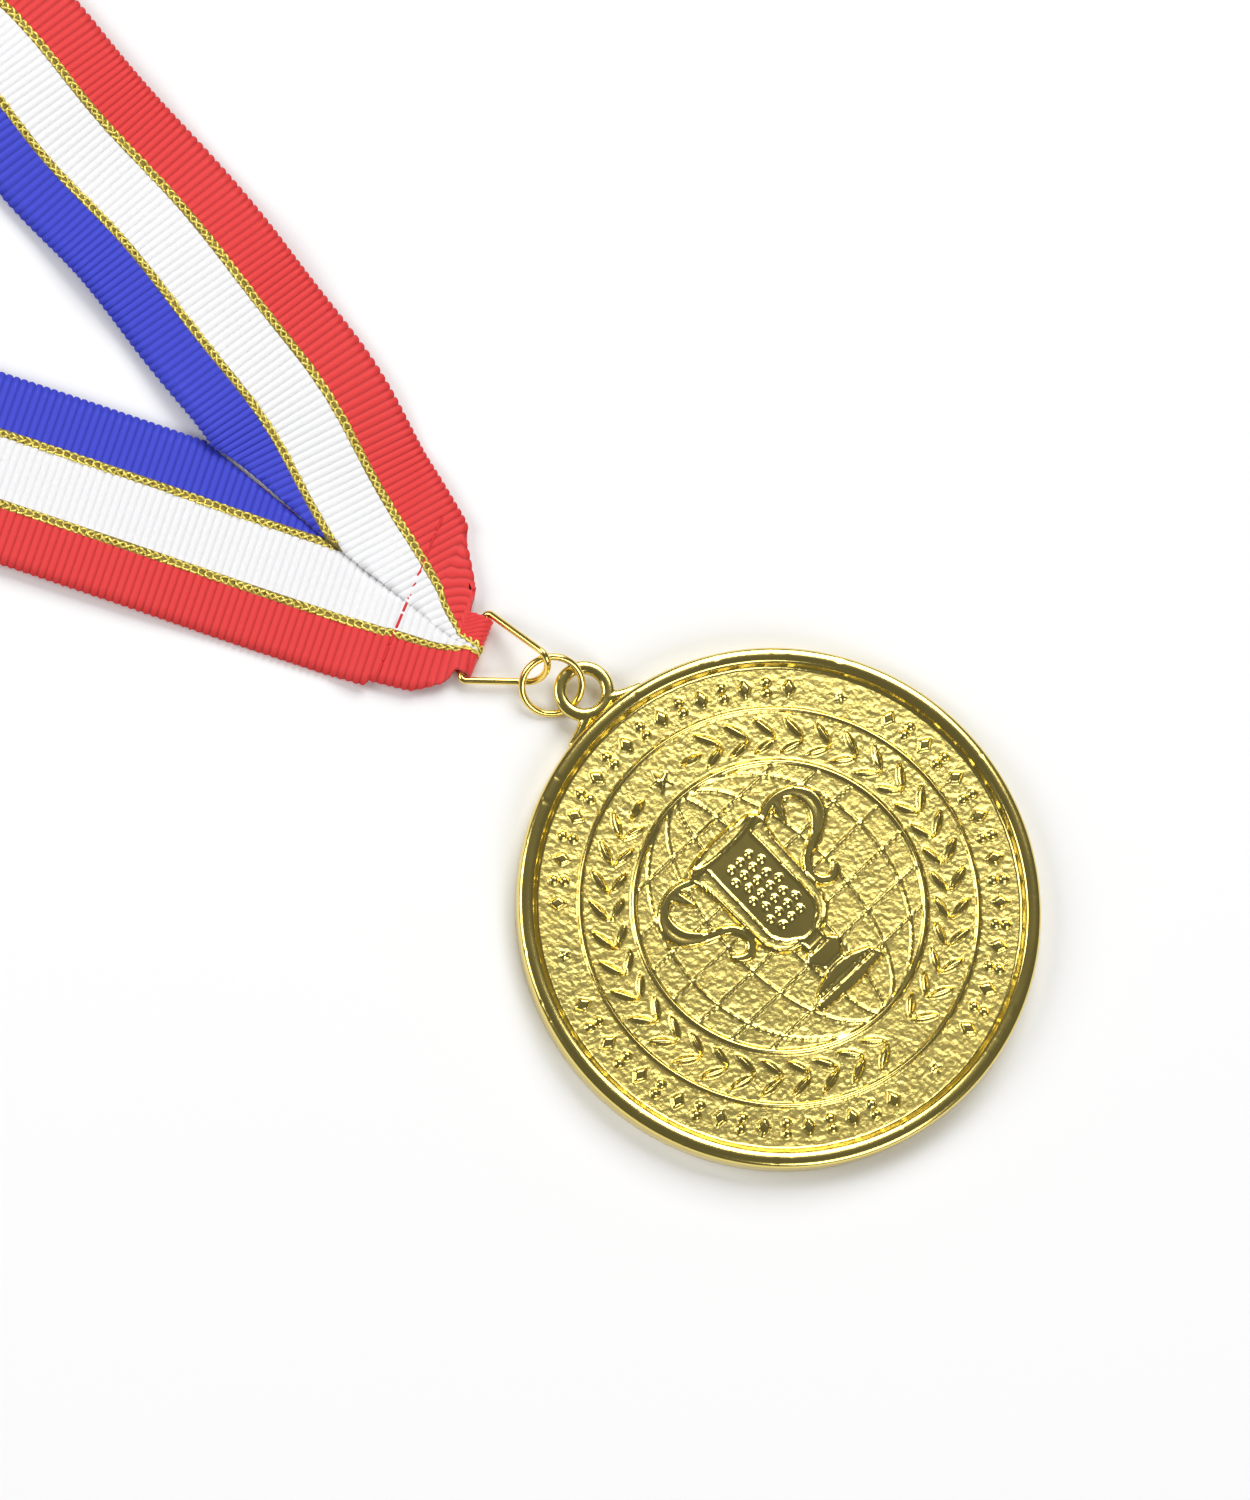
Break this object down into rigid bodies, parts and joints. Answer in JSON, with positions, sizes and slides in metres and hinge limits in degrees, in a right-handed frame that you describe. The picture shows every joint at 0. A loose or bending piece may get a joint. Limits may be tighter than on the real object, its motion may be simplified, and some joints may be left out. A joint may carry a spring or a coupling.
{
  "type": "medal",
  "caption": "Round die-cast prize medal with a relief of a cup on a globe inside a laurel wreath, hung by a jump ring and wire clip from a striped neck ribbon.",
  "frame": {"origin": "centre of the medal's flat back face, on the surface it lies on", "axes": "+Z out of the medal's front, +Y from the medal's centre to its bail, +X to the medal's right"},
  "size_m": [0.0997, 0.1891, 0.0047],
  "materials": {
    "gold_plate": "sandblasted field with polished rim and figures",
    "gold_wire": "polished",
    "striped_ribbon": "woven grosgrain, red, white and blue with gold lines",
    "red_thread": "matte thread"
  },
  "bodies": {
    "ribbon": {"neck_ribbon": "striped_ribbon", "pocket_stitching": "red_thread", "mitre_stitching": "red_thread"},
    "clip": {"ribbon_clip": "gold_wire"},
    "ring": {"jump_ring": "gold_wire"},
    "medal": {"medal_casting": "gold_plate"}
  },
  "joints": [
    {"name": "clip_swing", "type": "hinge", "parent": "ribbon", "child": "clip", "pos_m": [-0.00496, 0.03868, 0.0009], "axis": [0.8973, 0.4415, 0], "range_deg": [-85, 85]},
    {"name": "ring_turn", "type": "hinge", "parent": "clip", "child": "ring", "pos_m": [-0.00173, 0.03196, 0.00289], "axis": [-0.4415, 0.8973, 0], "range_deg": [0, 105]},
    {"name": "medal_swing", "type": "hinge", "parent": "ring", "child": "medal", "pos_m": [-0.00013, 0.02842, 0.00156], "axis": [1, 0, 0], "range_deg": [-48, 0]}
  ]
}
